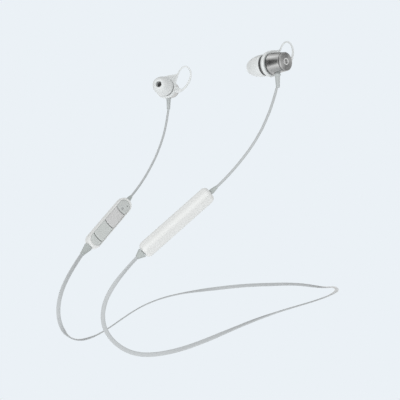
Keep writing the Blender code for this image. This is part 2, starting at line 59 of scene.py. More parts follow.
# Half of the neck cord, from the nape to the wearer's left side. The right half mirrors it.
NECK_HALF = [
    (0.0, 0.0, 0.0), (0.02, -0.0045, 0.001), (0.038, -0.0138, 0.0005),
    (0.052, -0.025, -0.0005), (0.0628, -0.0388, -0.0023), (0.0706, -0.0546, -0.0045),
    (0.0746, -0.072, -0.0075), (0.0735, -0.09, -0.0124), (0.068, -0.1074, -0.0194),
    (0.0602, -0.1238, -0.0266), (0.0524, -0.139, -0.031), (0.0455, -0.1518, -0.0308),
    (0.0398, -0.161, -0.025), (0.036, -0.1658, -0.0158), (0.0354, -0.1654, -0.0048),
    (0.0376, -0.1596, 0.0076),
]
BATTERY_GLAND = (0.0422, -0.1488, 0.0215)  # where the neck cord meets each module
REMOTE_GLAND = (-0.0424, -0.1484, 0.0218)
LEFT_LEAD = [
    (0.0573, -0.107, 0.0607), (0.0585, -0.1038, 0.064), (0.0596, -0.1007, 0.0674),
    (0.0607, -0.0977, 0.0709), (0.0619, -0.0949, 0.0745), (0.06305, -0.09221, 0.0782),
    (0.0642, -0.08963, 0.082), (0.06523, -0.08725, 0.08589), (0.06631, -0.08509, 0.08999),
    (0.0673, -0.08312, 0.09409), (0.06815, -0.08136, 0.09838), (0.06901, -0.07971, 0.10278),
    (0.06979, -0.07834, 0.10727), (0.07049, -0.07707, 0.11197), (0.07104, -0.07599, 0.11637),
]
RIGHT_LEAD = [
    (-0.0566, -0.1089, 0.0587), (-0.0578, -0.1055, 0.0621), (-0.059, -0.1022, 0.0656),
    (-0.0602, -0.0991, 0.0692), (-0.0613, -0.0961, 0.073), (-0.0624, -0.0933, 0.0769),
    (-0.0634, -0.0906, 0.0809), (-0.0644, -0.088, 0.085), (-0.06528, -0.08572, 0.0893),
    (-0.06614, -0.08356, 0.0936), (-0.06687, -0.08163, 0.09811), (-0.06747, -0.07993, 0.10281),
    (-0.06801, -0.07859, 0.10762), (-0.06843, -0.07746, 0.11252), (-0.06879, -0.0765, 0.11733),
]
NECK_ROUTE = [
    REMOTE_GLAND, *[(-x, y, z) for x, y, z in reversed(NECK_HALF[1:])], *NECK_HALF, BATTERY_GLAND
]
NECK_LENGTH = 0.540
RIBBON_WIDTH = 2.4 * MM
RIBBON_THICKNESS = 0.9 * MM
LEAD_DIAMETER = 1.5 * MM

# The way the ribbon's broad side looks, by its distance along the neck cord from the remote.
# Between these it turns evenly. At both ends it lies as the module's broad face does.
RIBBON_FACING = [
    (0.04, (0.93, -0.34, -0.1)), (0.075, (0.15, 0.05, 0.98)), (0.1, (-0.27, -0.47, 0.84)),
    (0.13, (-0.25, -0.43, 0.87)), (0.16, (0.0, -0.2, 0.98)), (0.195, (0.73, -0.53, 0.43)),
    (0.225, (0.46, -0.7, 0.55)), (0.25, (0.22, -0.49, 0.85)), (0.28, (0.0, -0.12, 0.99)),
    (0.31, (0.0, 0.0, 1.0)), (0.35, (-0.24, -0.27, 0.93)), (0.385, (-0.09, -0.22, 0.97)),
    (0.41, (0.29, -0.43, 0.85)), (0.435, (0.68, -0.55, 0.48)), (0.47, (0.88, -0.47, 0.12)),
    (0.5, (0.85, -0.5, 0.1)),
]

# ------------------------ frames, from the record


def named(entries, name):
    return next(entry for entry in entries if entry["name"] == name)


def placed(origin, x_axis, z_axis):
    """The matrix at origin whose X runs along x_axis and whose Z is as near z_axis as it can be."""
    x_axis = Vector(x_axis).normalized()
    y_axis = Vector(z_axis).cross(x_axis).normalized()
    rotation = Matrix((x_axis, y_axis, x_axis.cross(y_axis))).transposed().to_4x4()
    return Matrix.Translation(origin) @ rotation


def bud_place(side):
    turn = named(frame["joints"], side + "_fin_turn")
    axis = Vector(turn["axis"]).normalized()
    down = Vector((0, 0, -1))
    return placed(turn["pos_m"], down - down.dot(axis) * axis, axis)


def extent(node, place):
    """Lowest and highest corner of a CAD node in that frame, in metres."""
    inverse = np.array(place.inverted())
    points = np.array([vertex.co for vertex in frame["nodes"][node].data.vertices])
    points = points @ inverse[:3, :3].T + inverse[:3, 3]
    return points.min(0), points.max(0)


def middle_x(low, high):
    return (low[0] + high[0]) / 2


def module_place(gland, lead_route, face_axis):
    return placed(gland, Vector(lead_route[0]) - Vector(gland), face_axis)


LEFT = bud_place("left")
RIGHT = bud_place("right")
battery_face = named(frame["record"]["mounts"], "battery_face")
centre_press = named(frame["joints"], "centre_press")
BATTERY = module_place(BATTERY_GLAND, LEFT_LEAD, battery_face["axis"])
REMOTE = module_place(REMOTE_GLAND, RIGHT_LEAD, -Vector(centre_press["axis"]))
WORLD = Matrix.Identity(4)

# ------------------------ mesh helpers

ARC_STEPS = 5  # to a rounded corner of an outline
CORNER_ROOM = 0.48  # the share of a side that a rounded corner may take up
SPLINE_STEPS = 24  # to a span of a route, before it is spaced evenly


def add_object(name, data):
    """A new object in the scene."""
    obj = bpy.data.objects.new(name, data)
    bpy.context.scene.collection.objects.link(obj)
    return obj


def mesh_from(shape, name):
    """The mesh of a finished bmesh."""
    mesh = bpy.data.meshes.new(name)
    shape.to_mesh(mesh)
    shape.free()
    return mesh


def shade(mesh, sharp=32):
    mesh.shade_smooth()
    mesh.set_sharp_from_angle(angle=math.radians(sharp))


def loft(rings, closed=False, sharp=32):
    """A smooth skin over rings of equally many points, which faces outwards and has no holes.

    It ends in caps, or joins its ends if closed.
    """
    count = len(rings[0])
    points = np.concatenate(rings)
    faces = []
    for ring in range(len(rings) if closed else len(rings) - 1):
        low = ring * count
        high = (ring + 1) % len(rings) * count
        for step in range(count):
            after = (step + 1) % count
            faces.append((low + step, low + after, high + after, high + step))
    if not closed:
        faces.append(tuple(range(count)))
        faces.append(tuple(range(len(points) - count, len(points))))
    mesh = bpy.data.meshes.new("skin")
    mesh.from_pydata(points.tolist(), [], faces)
    shape = bmesh.new()
    shape.from_mesh(mesh)
    bmesh.ops.recalc_face_normals(shape, faces=shape.faces)
    shape.to_mesh(mesh)
    shape.free()
    shade(mesh, sharp)
    return mesh


def softened(points):
    """An outline in which a corner that gives a third number is rounded to that radius."""
    outline = []
    for index, point in enumerate(points):
        here = np.array(point[:2], float)
        if len(point) < 3:
            outline.append(here)
            continue
        before = np.array(points[index - 1][:2]) - here
        after = np.array(points[(index + 1) % len(points)][:2]) - here
        room = CORNER_ROOM * min(np.linalg.norm(before), np.linalg.norm(after))
        before /= np.linalg.norm(before)
        after /= np.linalg.norm(after)
        half = math.acos(np.clip(before @ after, -1, 1)) / 2
        reach = min(point[2] / math.tan(half), room)
        for share in np.linspace(0, 1, ARC_STEPS + 1):
            outline.append(here + reach * ((1 - share) ** 2 * before + share**2 * after))
    return outline


def turned(points, steps=96, sharp=32):
    """A solid turned round Z from its outline. It is a ring unless the outline starts on the axis."""
    outline = softened(points)
    solid = outline[0][0] == 0
    if solid:
        outline = outline[1:-1]
    angles = np.linspace(0, 2 * math.pi, steps, endpoint=False)
    around = np.stack([np.cos(angles), np.sin(angles), np.zeros(steps)], axis=1)
    rings = [around * radius * MM + (0, 0, height * MM) for radius, height in outline]
    return loft(rings, closed=not solid, sharp=sharp)


def distances(line):
    """How far along the line each of its points is."""
    return np.concatenate([[0], np.cumsum(np.linalg.norm(np.diff(line, axis=0), axis=1))])


def spline(route, spacing):
    """Points a fixed distance apart on the natural cubic spline through the route."""
    route = np.array(route, float)
    knots = distances(route)
    steps = np.diff(route, axis=0)
    chords = np.linalg.norm(steps, axis=1)
    slopes = steps / chords[:, None]
    system = np.eye(len(route))
    bends = np.zeros_like(route)
    for knot in range(1, len(route) - 1):
        before, after = chords[knot - 1], chords[knot]
        system[knot, knot - 1 : knot + 2] = before, 2 * (before + after), after
        bends[knot] = 6 * (slopes[knot] - slopes[knot - 1])
    bends = np.linalg.solve(system, bends)
    dense = np.linspace(0, knots[-1], SPLINE_STEPS * len(route))
    span = np.clip(np.searchsorted(knots, dense, side="right") - 1, 0, len(chords) - 1)
    width = chords[span][:, None]
    ahead = (dense - knots[span])[:, None] / width
    behind = 1 - ahead
    curve = (
        behind * route[span] + ahead * route[span + 1]
        + ((behind**3 - behind) * bends[span] + (ahead**3 - ahead) * bends[span + 1]) * width**2 / 6
    )
    along = distances(curve)
    stations = np.linspace(0, along[-1], max(2, round(along[-1] / spacing)) + 1)
    return np.stack([np.interp(stations, along, curve[:, axis]) for axis in range(3)], axis=1)


def unit(vectors):
    return vectors / np.linalg.norm(vectors, axis=-1, keepdims=True)


def headings(line):
    return unit(np.gradient(line, axis=0))


def carried(line, start):
    """A direction carried along the line from its start with as little turning as it can."""
    held = [np.array(start, float)]
    for heading in headings(line):
        across = held[-1] - held[-1] @ heading * heading
        held.append(across / np.linalg.norm(across))
    return np.array(held[1:])


def swept(line, facing, section):
    """A tube along the line. section gives (across, out) for each of its points, or for each ring."""
    sideways = np.cross(headings(line), facing)
    sections = np.broadcast_to(section, (len(line), *np.shape(section)[-2:]))
    rings = [
        place + outline[:, :1] * side + outline[:, 1:] * out
        for place, outline, side, out in zip(line, sections, sideways, facing)
    ]
    mesh = loft(rings)
    lengths = distances(line)
    layer = mesh.uv_layers.new(name="route")
    count = len(rings[0])
    for loop in mesh.loops:
        ring, step = divmod(loop.vertex_index, count)
        layer.data[loop.index].uv = (step / count, lengths[ring])
    return mesh


def oval(width, thickness, steps=12, power=2.0):
    """An ellipse, or with a higher power a round-cornered box, as (across, out) points."""
    angles = np.linspace(0, 2 * math.pi, steps, endpoint=False)
    cosines, sines = np.cos(angles), np.sin(angles)
    across = np.sign(cosines) * np.abs(cosines) ** (2 / power)
    out = np.sign(sines) * np.abs(sines) ** (2 / power)
    return np.stack([across * width / 2, out * thickness / 2], axis=1)


def block(length, width, low_corner, high_corner, arc=8):
    """A rectangle round the origin, whose ends at -X and +X have corners of their own radius."""
    outline = []
    corners = [
        (1, 1, high_corner, 0), (-1, 1, low_corner, 90),
        (-1, -1, low_corner, 180), (1, -1, high_corner, 270),
    ]
    for side_x, side_y, radius, first in corners:
        for step in range(arc + 1):
            angle = math.radians(first + 90 * step / arc)
            x = side_x * (length / 2 - radius) + radius * math.cos(angle)
            y = side_y * (width / 2 - radius) + radius * math.sin(angle)
            outline.append((x, y))
    return np.array(outline)


def level(outline, height, shift):
    """The outline at that height and shifted along X, as a ring."""
    return np.column_stack([outline[:, 0] + shift, outline[:, 1], np.full(len(outline), height)])


def block_ring(low, high, radius, inset, height, arc=8):
    """The ring of an extent's rounded outline, drawn in by the inset all round."""
    length, width = high[0] - low[0] - 2 * inset, high[1] - low[1] - 2 * inset
    return level(block(length, width, radius, radius, arc), height, middle_x(low, high))


def box(low, high, bevel, segments=3):
    """A box between two corners, in metres, with its edges rounded."""
    low, high = Vector(low), Vector(high)
    shape = bmesh.new()
    bmesh.ops.create_cube(shape, size=1.0)
    bmesh.ops.scale(shape, vec=high - low, verts=shape.verts)
    bmesh.ops.translate(shape, vec=(low + high) / 2, verts=shape.verts)
    bmesh.ops.bevel(
        shape, geom=shape.edges[:], offset=bevel, segments=segments, profile=0.5, affect="EDGES"
    )
    mesh = mesh_from(shape, "box")
    shade(mesh)
    return mesh


def gathered(meshes):
    """Several meshes in one."""
    shape = bmesh.new()
    for mesh in meshes:
        shape.from_mesh(mesh)
    return mesh_from(shape, "gathered")


def moved(mesh, matrix):
    mesh.transform(matrix)
    if matrix.is_negative:
        mesh.flip_normals()
    return mesh


def combined(mesh, tool, operation="DIFFERENCE", sharp=32):
    """The mesh with the tool cut from it, or joined to it."""
    body = add_object("body", mesh)
    cutter = add_object("cutter", tool)
    modifier = body.modifiers.new("boolean", "BOOLEAN")
    modifier.operation = operation
    modifier.object = cutter
    result = evaluated(body)
    bpy.data.objects.remove(body)
    bpy.data.objects.remove(cutter)
    shade(result, sharp)
    return result


def evaluated(obj):
    """The object's mesh with its modifiers applied."""
    bpy.context.view_layer.update()
    return bpy.data.meshes.new_from_object(obj.evaluated_get(bpy.context.evaluated_depsgraph_get()))


def piece(name, mesh, place, body, material, stands_for=()):
    """Put a mesh in the scene, riding on a CAD body and standing for CAD nodes."""
    obj = add_object(name, mesh)
    mesh.name = name
    obj.matrix_world = place
    mesh.materials.clear()
    for entry in material if isinstance(material, list) else [material]:
        mesh.materials.append(entry)
    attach(obj, body)
    if stands_for:
        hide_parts(*stands_for)
    return obj


# ------------------------ materials


def add_node(tree, kind, inputs, **settings):
    """A new shader node, with its properties and, by name or number, what goes into its sockets."""
    made = tree.nodes.new(kind)
    for name, value in settings.items():
        setattr(made, name, value)
    for socket, value in inputs.items():
        if isinstance(value, bpy.types.NodeSocket):
            tree.links.new(value, made.inputs[socket])
        else:
            made.inputs[socket].default_value = value
    return made


def map_range(tree, value, low, high, to_low, to_high, ends="SMOOTHSTEP"):
    """The value, with its range low..high turned into the other range."""
    inputs = {"From Min": low, "From Max": high, "To Min": to_low, "To Max": to_high, "Value": value}
    return add_node(tree, "ShaderNodeMapRange", inputs, interpolation_type=ends).outputs[0]


def maths(tree, operation, first, second=0.5):
    return add_node(tree, "ShaderNodeMath", {0: first, 1: second}, operation=operation).outputs[0]


class Finish:
    """A Principled material under construction. Its uniform values sit on the shader's sockets."""

    def __init__(self, name, colour, roughness, metallic=0.0, **sockets):
        self.material = bpy.data.materials.new(name)
        self.material.use_nodes = True
        self.tree = self.material.node_tree
        self.shader = self.tree.nodes["Principled BSDF"]
        self.colour = colour
        self.roughness = roughness
        sockets.update({"Base Color": (*colour, 1), "Roughness": roughness, "Metallic": metallic})
        for socket, value in sockets.items():
            self.shader.inputs[socket.replace("_", " ")].default_value = value
        self.height = None

    def node(self, kind, inputs, **settings):
        return add_node(self.tree, kind, inputs, **settings)

    def link(self, value, socket):
        self.tree.links.new(value, self.shader.inputs[socket])

    def times(self, first, second):
        return maths(self.tree, "MULTIPLY", first, second)

    def place(self, stretch=(1, 1, 1)):
        """The point in the piece's own frame, in metres, stretched along its axes."""
        point = self.node("ShaderNodeTexCoord", {}).outputs["Object"]
        return self.node("ShaderNodeMapping", {"Vector": point, "Scale": stretch}).outputs[0]

    def route(self, stretch):
        """Round and along a cord, from the map that its sweep made."""
        point = self.node("ShaderNodeUVMap", {}, uv_map="route").outputs[0]
        return self.node("ShaderNodeMapping", {"Vector": point, "Scale": stretch}).outputs[0]

    def round_axis(self, radius_scale, turn_scale, height_scale):
        """Radius and height as one number, and the angle round the piece's Z, as a noise's point."""
        x, y, z = self.node("ShaderNodeSeparateXYZ", {0: self.place()}).outputs
        tree = self.tree
        radius = maths(tree, "SQRT", maths(tree, "ADD", self.times(x, x), self.times(y, y)))
        lines = maths(tree, "ADD", self.times(radius, radius_scale), self.times(z, height_scale))
        # The cosine and sine of the angle, so that no seam shows where the angle starts again.
        divisor = maths(tree, "MAXIMUM", radius, 1e-6)
        cosine, sine = maths(tree, "DIVIDE", x, divisor), maths(tree, "DIVIDE", y, divisor)
        point = {"X": lines, "Y": self.times(cosine, turn_scale), "Z": self.times(sine, turn_scale)}
        return self.node("ShaderNodeCombineXYZ", point).outputs[0]

    def noise(self, where, scale, detail=3.0, rough=0.55):
        inputs = {"Vector": where, "Scale": scale, "Detail": detail, "Roughness": rough}
        return self.node("ShaderNodeTexNoise", inputs).outputs["Fac"]

    def grain(self, scale, detail=3.0, rough=0.55):
        """Noise of the same size along every axis."""
        return self.noise(self.place(), scale, detail, rough)

    def spread(self, value, low, high, usual=(0.3, 0.7)):
        """The value, rescaled from its usual range to low..high."""
        return map_range(self.tree, value, *usual, low, high, "LINEAR")

    def mottle(self, value, amount, tint=(1.0, 1.0, 1.0), usual=(0.3, 0.7)):
        """Let the colour vary by that share either way, towards the tint where the value is low."""
        darker = [part * (1 - amount) * tone for part, tone in zip(self.colour, tint)]
        lighter = [min(1, part * (1 + amount)) for part in self.colour]
        inputs = {"Factor": self.spread(value, 0, 1, usual), "A": (*darker, 1), "B": (*lighter, 1)}
        self.link(self.node("ShaderNodeMix", inputs, data_type="RGBA").outputs["Result"], "Base Color")

    def vary_roughness(self, value, amount):
        low, high = self.roughness * (1 - amount), min(1, self.roughness * (1 + amount))
        self.link(self.spread(value, low, high), "Roughness")

    def relief(self, value, distance):
        """Raise the surface by that value times the distance, on top of what is there already."""
        inputs = {"Height": value, "Distance": distance, "Strength": 1.0}
        if self.height:
            inputs["Normal"] = self.height
        self.height = self.node("ShaderNodeBump", inputs).outputs[0]
        self.link(self.height, "Normal")


def moulded(name, colour, roughness, grain, depth, **sockets):
    """Moulded plastic or rubber: flow mottling, a fine skin texture and rubbed, duller patches."""
    made = Finish(name, colour, roughness, **sockets)
    flow = made.noise(made.place((1, 1, 0.6)), 130)
    skin = made.grain(grain, 4, 0.6)
    rubbed = made.noise(made.place((1.0, 1.4, 1.0)), 420, 5, 0.65)
    made.mottle(flow, 0.018, (1.0, 0.998, 0.99))
    made.vary_roughness(rubbed, 0.28)
    made.relief(skin, depth)
    return made


def white_gloss():
    """The casings' white plastic, nearly matt in this light."""
    made = moulded(
        "white_gloss_plastic", (0.865, 0.875, 0.873), 0.55, 2600, 0.6 * MICRON,
        IOR=1.45, Specular_IOR_Level=0.22,
    )
    return made.material


def panel_grey(name, colour):
    made = moulded(name, colour, 0.5, 7000, 0.9 * MICRON, IOR=1.45)
    spark = made.grain(14000, 2)
    made.relief(spark, 0.5 * MICRON)
    return made.material


def soft_grey(name, colour):
    made = moulded(
        name, colour, 0.58, 6500, 1.4 * MICRON, IOR=1.45, Sheen_Weight=0.12, Sheen_Roughness=0.4
    )
    return made.material


def cord_grey(name, colour):
    """Extruded jacket: faint lines along it, a slow change of tone and a smooth, sealed skin."""
    made = Finish(
        name, colour, 0.45, IOR=1.46, Coat_Weight=0.7, Coat_Roughness=0.12,
        Sheen_Weight=0.1, Sheen_Roughness=0.45,
    )
    lines = made.noise(made.route((34, 9, 0)), 1.0)
    tone = made.noise(made.route((2, 30, 0)), 1.0, 4)
    skin = made.grain(7000)
    made.mottle(tone, 0.045)
    made.vary_roughness(lines, 0.2)
    made.relief(lines, 3 * MICRON)
    made.relief(skin, 1.2 * MICRON)
    return made.material


def clear_silicone(name, colour, cover):
    """Milky, slightly dusty silicone. cover is the share of what lies behind that it hides."""
    made = Finish(name, colour, 0.42, IOR=1.41, Alpha=cover)
    haze = made.grain(260, 4)
    skin = made.grain(5200)
    made.mottle(haze, 0.02, (0.99, 1.0, 1.0))
    made.vary_roughness(haze, 0.25)
    made.relief(skin, 0.7 * MICRON)
    return made.material


def spun_metal(name, colour, roughness, anisotropy, radius_scale, height_scale):
    """Metal turned on a lathe: fine lines round its axis that break up here and there."""
    across_the_lines = 0.25  # of a turn, for the blur of its mirror image
    made = Finish(
        name, colour, roughness, 1.0, Anisotropic=anisotropy, Anisotropic_Rotation=across_the_lines
    )
    fine = made.noise(made.round_axis(radius_scale, 1.3, height_scale), 1.0, 4, 0.7)
    broad = made.noise(made.round_axis(radius_scale * 0.18, 2.6, height_scale * 0.18), 1.0)
    made.mottle(fine, 0.07, (1.0, 1.0, 0.99))
    made.vary_roughness(broad, 0.22)
    made.relief(fine, 0.6 * MICRON)
    tangent = made.node("ShaderNodeTangent", {}, direction_type="RADIAL", axis="Z")
    made.link(tangent.outputs[0], "Tangent")
    return made.material


def plain_metal(name, colour, roughness, grain, metallic=1.0):
    made = Finish(name, colour, roughness, metallic)
    grains = made.noise(made.place((1, 6, 1)), grain, 4, 0.6)
    made.mottle(grains, 0.08)
    made.vary_roughness(grains, 0.25)
    made.relief(grains, 1.5 * MICRON)
    return made.material


def dark_trim():
    made = Finish("dark_trim", (0.075, 0.078, 0.078), 0.42)
    lines = made.noise(made.round_axis(9000, 0.8, 9000), 1.0)
    made.mottle(lines, 0.12)
    made.vary_roughness(lines, 0.2)
    made.relief(lines, 4 * MICRON)
    return made.material


def circuit_board():
    """Green solder mask over a pattern of copper that shows through it."""
    made = Finish("circuit_board", (0.03, 0.16, 0.09), 0.4)
    inputs = {"Vector": made.place((1, 1, 0.2)), "Scale": 900.0}
    cells = made.node("ShaderNodeTexVoronoi", inputs, distance="MANHATTAN").outputs["Distance"]
    made.mottle(cells, 0.35, usual=(0.25, 0.4))
    made.relief(cells, 30 * MICRON)
    return made.material


def black_part():
    return moulded("component_black", (0.04, 0.04, 0.042), 0.5, 7000, 10 * MICRON).material


def light_guide():
    made = Finish("light_guide", (0.93, 0.95, 0.97), 0.2, Transmission_Weight=0.35, IOR=1.49)
    haze = made.grain(3000)
    made.mottle(haze, 0.02)
    made.relief(haze, 4 * MICRON)
    return made.material


WHITE = white_gloss()
PANEL_GREY = panel_grey("panel_grey", (0.69, 0.72, 0.71))
PANEL_WARM = panel_grey("panel_warm_grey", (0.73, 0.73, 0.735))
PANEL_END = panel_grey("panel_end_grey", (0.645, 0.67, 0.665))
RELIEF_GREY = soft_grey("relief_grey", (0.52, 0.55, 0.555))
# Near-black: painted shade of the gap between a bud's cup and its sleeve, put on the housing's rim.
RIM_GAP_SHADE = soft_grey("rim_gap_shade", (0.14, 0.15, 0.15))
GLAND_GREY = soft_grey("gland_grey", (0.50, 0.535, 0.53))
CORD = cord_grey("cord_jacket", (0.54, 0.565, 0.58))
LEAD = cord_grey("lead_jacket", (0.52, 0.545, 0.555))
TIP_SILICONE = clear_silicone("tip_silicone", (0.81, 0.83, 0.835), 1.0)
FIN_SILICONE = clear_silicone("fin_silicone", (0.84, 0.86, 0.865), 0.95)
CAP_METAL = spun_metal("spun_cap_metal", (0.48, 0.48, 0.48), 0.36, 0.9, 14000, 0)
CUP_METAL = spun_metal("spun_cup_metal", (0.50, 0.50, 0.50), 0.2, 0.6, 0, 14000)
POLISHED = plain_metal("polished_inlay", (0.93, 0.93, 0.93), 0.25, 2500, 0.5)
TRIM = dark_trim()
MESH_STEEL = plain_metal("mesh_steel", (0.16, 0.16, 0.16), 0.38, 9000)
TIN = plain_metal("tinned_steel", (0.6, 0.61, 0.62), 0.34, 2200)
MAGNET = plain_metal("nickel_magnet", (0.35, 0.35, 0.36), 0.34, 1800)
FOIL = plain_metal("cell_foil", (0.55, 0.57, 0.6), 0.4, 900, 0.6)
BOARD = circuit_board()
BLACK = black_part()
GUIDE = light_guide()

# ------------------------ cords


def facing_along(line):
    """The ribbon's facing at each point of the neck cord, turned evenly between the stations."""
    out = Vector((0, 0, 1))
    first = (0.0, REMOTE.to_3x3() @ out)
    last = (NECK_LENGTH, BATTERY.to_3x3() @ out)
    stations = [first, *RIBBON_FACING, last]
    knots = np.array([distance for distance, _ in stations])
    looks = np.array([tuple(look) for _, look in stations])
    along = distances(line)
    span = np.clip(np.searchsorted(knots, along, side="right") - 1, 0, len(stations) - 2)
    share = (along - knots[span]) / (knots[span + 1] - knots[span])
    share = (share * share * (3 - 2 * share)).clip(0, 1)[:, None]
    facing = looks[span] * (1 - share) + looks[span + 1] * share
    heading = headings(line)
    facing -= (facing * heading).sum(1, keepdims=True) * heading
    return unit(facing)


def cord(name, mesh, material, node):
    """A cord's piece, riding on the frame and standing for its CAD node."""
    obj = piece(name, mesh, WORLD, "frame", material, [node])


def neck_cord():
    line = spline(NECK_ROUTE, 1.2 * MM)
    mesh = swept(line, facing_along(line), oval(RIBBON_WIDTH, RIBBON_THICKNESS, 24, 3.2))
    cord("neck_ribbon", mesh, CORD, "neck_cord")


def lead(side, route):
    line = spline(route, 0.9 * MM)
    mesh = swept(line, carried(line, (0, 1, 0)), oval(LEAD_DIAMETER, LEAD_DIAMETER, 16))
    cord(side + "_lead_cord", mesh, LEAD, side + "_lead")


# ------------------------ earbuds

RELIEF_HEIGHT = 6.8 * MM  # along the bud from its end cap
BARREL_RADIUS = 5.3 * MM  # of the housing, inside its rim that carries the painted gap shade
RIM_HEIGHTS = (10.2 * MM, 11.0 * MM)
FIN_LOOP = [  # towards the back of the head, up, along the bud, in mm
    (5.9, 3.2, 12.6), (7.0, 5.2, 12.5), (8.0, 8.2, 12.0), (9.2, 11.2, 11.3), (10.9, 13.4, 10.6),
    (13.0, 14.0, 9.9), (15.0, 12.6, 9.4), (16.2, 9.8, 9.1), (16.0, 6.7, 9.1), (14.9, 3.5, 9.5),
    (13.2, 0.4, 10.3), (11.0, -1.9, 11.2), (8.6, -2.9, 12.2), (6.6, -2.4, 12.6),
]
FIN_WEBS = [  # corners towards the back of the head and up, then the sheet's two heights, in mm
    (
        [
            (-1.5, 6.6), (-1.2, 7.6), (2.2, 8.2), (5.4, 8.5),
            (8.3, 9.3), (7.0, 5.0), (5.6, 3.0), (3.5, 5.0),
        ],
        (11.2, 12.4),
    ),
    ([(6.4, -3.3), (8.7, -3.4), (11.0, -2.3), (10.4, -1.2), (7.6, 0.3), (6.2, 0.6)], (11.7, 12.5)),
]
VOXEL = 0.22 * MM
WIRE = 0.13 * MM
WIRE_PITCH = 0.3 * MM


def pointed_down(mesh):
    """Turn a solid that was made round Z to point down from the bud, where the relief sits."""
    turn = Matrix.Rotation(math.pi / 2, 4, "Y")
    return moved(mesh, Matrix.Translation((0, 0, RELIEF_HEIGHT)) @ turn)


def cap_disc():
    """The spun disc, with a raised lip, a turned groove and a seat for the ring in its middle."""
    profile = [
        (0, 1.2), (5.3, 1.2, 0.1), (5.3, 0.4, 0.25), (4.95, 0.0, 0.12), (4.62, 0.0, 0.05),
        (4.55, 0.07, 0.05), (4.35, 0.07, 0.05), (4.28, 0.02, 0.05), (2.05, 0.02, 0.04),
        (2.0, 0.12), (1.35, 0.12), (1.3, 0.02, 0.04), (0, 0.02),
    ]
    return turned(profile, 128)


def cap_inlay():
    return turned([(1.97, 0.11), (1.97, 0.0, 0.04), (1.38, 0.0, 0.04), (1.38, 0.11)])


def metal_cup():
    """The spun cup, with a fine turned step near the ear and a hole for the relief."""
    profile = [
        (6.0, 10.0, 0.08), (6.2, 9.8, 0.12), (6.13, 9.1), (6.07, 9.05), (6.05, 8.9), (6.1, 8.82),
        (5.35, 1.5, 0.2), (4.75, 1.5, 0.1), (5.55, 10.0, 0.1),
    ]
    hole = pointed_down(turned([(0, 8.0), (1.6, 8.0), (1.6, 3.0), (0, 3.0)], 32))
    return combined(turned(profile, 128), hole)


def front_housing():
    """The white barrel and nozzle."""
    profile = [
        (2.5, 24.0, 0.1), (2.9, 23.4, 0.12), (2.9, 22.9, 0.12), (2.5, 22.4, 0.2), (2.5, 17.4, 0.5),
        (3.4, 16.6, 0.5), (5.0, 15.6, 0.2), (5.25, 15.3, 0.1), (5.25, 10.9, 0.05), (6.1, 10.9, 0.1),
        (6.1, 10.3, 0.1), (5.1, 10.3, 0.05), (5.1, 8.9), (4.6, 8.9), (4.6, 14.6, 0.3),
        (1.9, 17.2, 0.3), (1.9, 24.0, 0.1),
    ]
    return turned(profile)


def paint_rim_gap_shade(barrel):
    """Give the second material, a near-black grey, to the rim that meets the cup, as painted shade of the gap
    there.
    """
    low, high = RIM_HEIGHTS
    for face in barrel.polygons:
        middle = face.center
        if math.hypot(middle.x, middle.y) > BARREL_RADIUS and low < middle.z < high:
            face.material_index = 1


def trim_ring():
    return turned([(6.1, 15.5, 0.2), (6.1, 14.35, 0.15), (5.45, 14.35, 0.05), (5.45, 15.5, 0.05)])


def ear_tip():
    """A thin dome of silicone folded back over a stem that grips the nozzle."""
    outer = [
        (1.95, 27.3), (2.25, 27.62), (2.7, 27.72), (3.3, 27.5), (3.9, 26.95), (4.5, 25.9),
        (5.1, 24.5), (5.6, 22.9), (5.95, 21.2), (6.17, 19.6), (6.27, 18.1), (6.27, 16.8),
        (6.2, 15.95), (6.08, 15.8), (5.95, 15.95),
    ]
    inner = [
        (5.9, 16.9), (5.84, 18.2), (5.62, 19.7), (5.3, 21.2), (4.9, 22.6), (4.5, 23.2),
        (4.15, 23.0), (4.0, 22.0), (4.0, 18.1), (3.85, 17.8), (3.35, 17.8), (3.2, 18.1),
        (3.2, 24.2), (2.9, 24.8), (2.2, 25.1), (1.9, 25.5),
    ]
    return turned([*outer, *inner], 112, sharp=60)


def ear_fin(rear):
    """The sleeve round the barrel, with webs that run into the loop braced in the ear."""
    profile = [
        (6.2, 14.05, 0.15), (6.9, 13.3, 0.3), (7.35, 12.6, 0.3), (7.35, 11.8, 0.3), (6.8, 11.2, 0.2),
        (5.5, 11.2, 0.1), (5.5, 14.05, 0.1),
    ]
    joined = combined(turned(profile), fin_strand(rear), "UNION")
    joined = combined(joined, fin_webs(rear), "UNION")
    bore = turned([(0, 15), (5.52, 15), (5.52, 10), (0, 10)])
    return combined(melted(joined), bore, sharp=50)


def fin_strand(rear):
    """The loop's round strand: thin at first, thicker past its top, and thickest at both roots."""
    line = spline([(-up * MM, rear * back * MM, along * MM) for back, up, along in FIN_LOOP], 0.7 * MM)
    share = np.linspace(0, 1, len(line))
    body = 1.0 + 0.45 * np.clip((share - 0.4) / 0.25, 0, 1)
    roots = 1.6 * np.exp(-share / 0.06) + 1.2 * np.exp((share - 1) / 0.06)
    sections = oval(1.0, 1.0, 14) * ((body + roots) * MM)[:, None, None]
    return swept(line, carried(line, (0, 0, 1)), sections)


def fin_webs(rear):
    """A thin sheet from the sleeve's top to the loop's first root, and one inside its last root."""
    sheets = []
    for corners, heights in FIN_WEBS:
        outline = np.array([(-up, rear * back, 0) for back, up in corners])
        sheets.append(loft([(outline + (0, 0, height)) * MM for height in heights]))
    return gathered(sheets)


def melted(mesh):
    """Melt joined shapes together, so that every root has a fillet."""
    obj = add_object("melted", mesh)
    remesh = obj.modifiers.new("voxels", "REMESH")
    remesh.mode = "VOXEL"
    remesh.voxel_size = VOXEL
    relax = obj.modifiers.new("relax", "SMOOTH")
    relax.factor = 0.5
    relax.iterations = 7
    result = evaluated(obj)
    bpy.data.objects.remove(obj)
    return result


